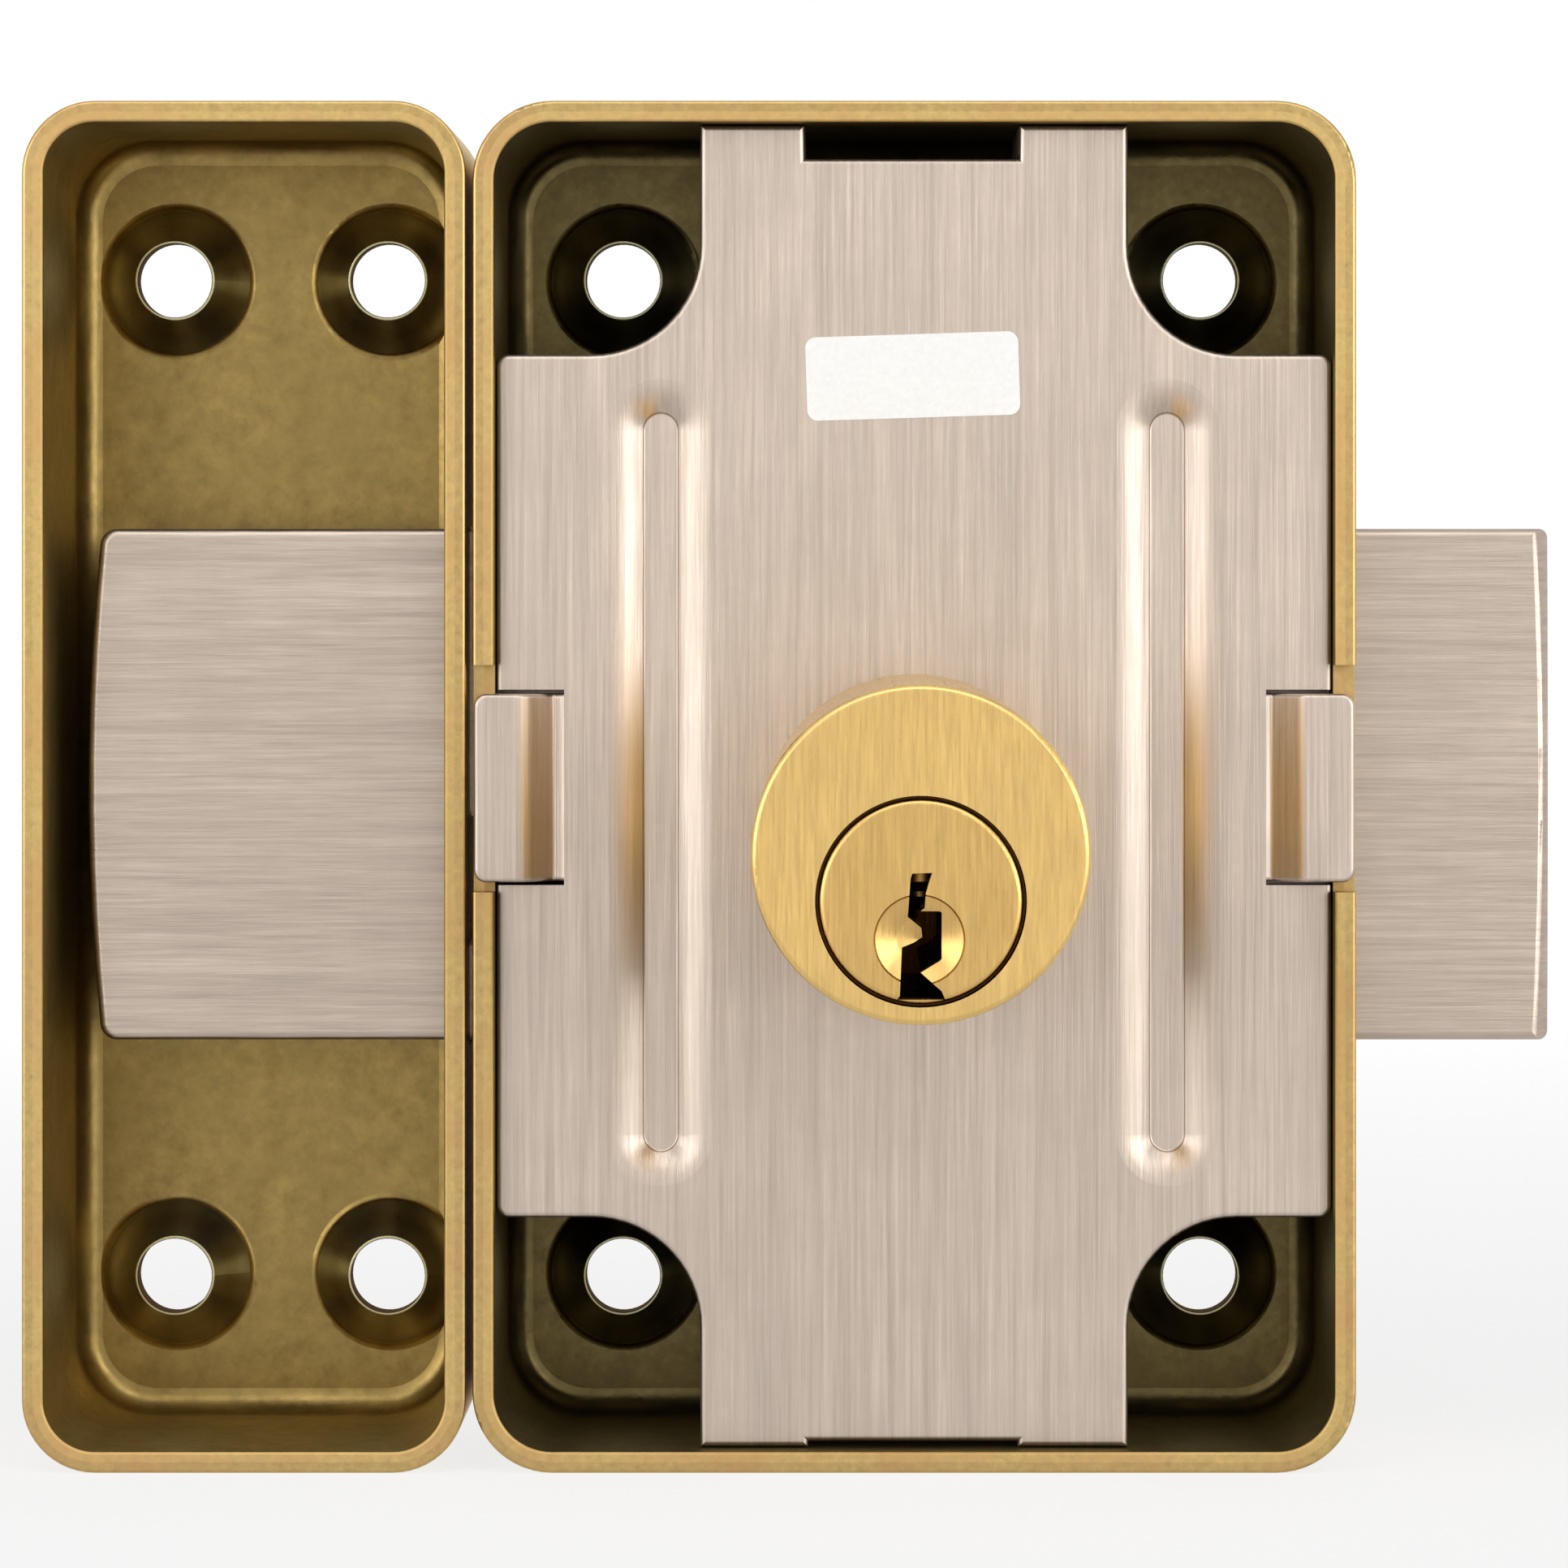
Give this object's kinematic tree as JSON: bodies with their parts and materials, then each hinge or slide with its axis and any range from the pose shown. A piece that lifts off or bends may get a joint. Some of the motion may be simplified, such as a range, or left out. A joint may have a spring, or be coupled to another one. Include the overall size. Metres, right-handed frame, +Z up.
{
  "type": "rim lock",
  "caption": "Surface-mounted door lock: drawn brass case and strike, a long steel bolt, an outer key cylinder, an inner thumb turn and a steel back plate.",
  "frame": {"origin": "on the axis of the outer key cylinder's body, in the plane of the door's outer face of the case rims", "axes": "+X towards the bolt's free end, away from the strike; +Y from the door into the room; +Z up"},
  "size_m": [0.1133, 0.095, 0.1014],
  "materials": {
    "case_brass": "satin, olive-bronze toned inside",
    "cylinder_brass": "satin turned",
    "plate_steel": "brushed upright",
    "bolt_steel": "brushed lengthwise",
    "guide_steel": "zinc plated",
    "spring_steel": "bright drawn",
    "drive_steel": "machined",
    "pin_brass": "bright turned",
    "label_paper": "smooth"
  },
  "bodies": {
    "case": {"lock_case": "case_brass", "back_plate": "plate_steel", "label_sticker": "label_paper", "cylinder_body": "cylinder_brass", "chamber_cover": "cylinder_brass", "cylinder_screws": "drive_steel", "bolt_guide": "guide_steel", "guide_posts": "guide_steel", "detent_spring": "spring_steel", "detent_rivets": "guide_steel", "spindle_bush": "cylinder_brass", "driver_pin_1": "pin_brass", "driver_pin_2": "pin_brass", "driver_pin_3": "pin_brass", "driver_pin_4": "pin_brass", "driver_pin_5": "pin_brass", "driver_pin_6": "pin_brass", "pin_spring_1": "spring_steel", "pin_spring_2": "spring_steel", "pin_spring_3": "spring_steel", "pin_spring_4": "spring_steel", "pin_spring_5": "spring_steel", "pin_spring_6": "spring_steel"},
    "key_plug": {"cylinder_plug": "cylinder_brass", "plug_circlip": "spring_steel", "tailpiece": "drive_steel", "key_pin_1": "pin_brass", "key_pin_2": "pin_brass", "key_pin_3": "pin_brass", "key_pin_4": "pin_brass", "key_pin_5": "pin_brass", "key_pin_6": "pin_brass"},
    "thumb_turn": {"knob": "cylinder_brass", "knob_set_screw": "drive_steel", "spindle": "drive_steel", "spindle_circlip": "spring_steel", "drive_cog": "drive_steel"},
    "bolt": {"bolt": "bolt_steel"},
    "strike": {"strike_box": "case_brass"}
  },
  "joints": [
    {"name": "key_turn", "type": "hinge", "parent": "case", "child": "key_plug", "pos_m": [0, 0, -0.00315], "axis": [0, 1, 0], "range_deg": [0, 360]},
    {"name": "knob_turn", "type": "hinge", "parent": "case", "child": "thumb_turn", "pos_m": [0, 0, -0.00315], "axis": [0, 1, 0], "range_deg": [0, 360]},
    {"name": "bolt_slide", "type": "slide", "parent": "case", "child": "bolt", "axis": [1, 0, 0], "range_m": [0, 0.02827], "deforming": ["detent_spring"]},
    {"name": "strike_draw_off", "type": "slide", "parent": "case", "child": "strike", "axis": [-1, 0, 0], "range_m": [0, 0.035]}
  ],
  "couplings": [
    {"joint": "key_turn", "follows": "bolt_slide", "rad_per_m": 222.22},
    {"joint": "knob_turn", "follows": "bolt_slide", "rad_per_m": 222.22}
  ]
}
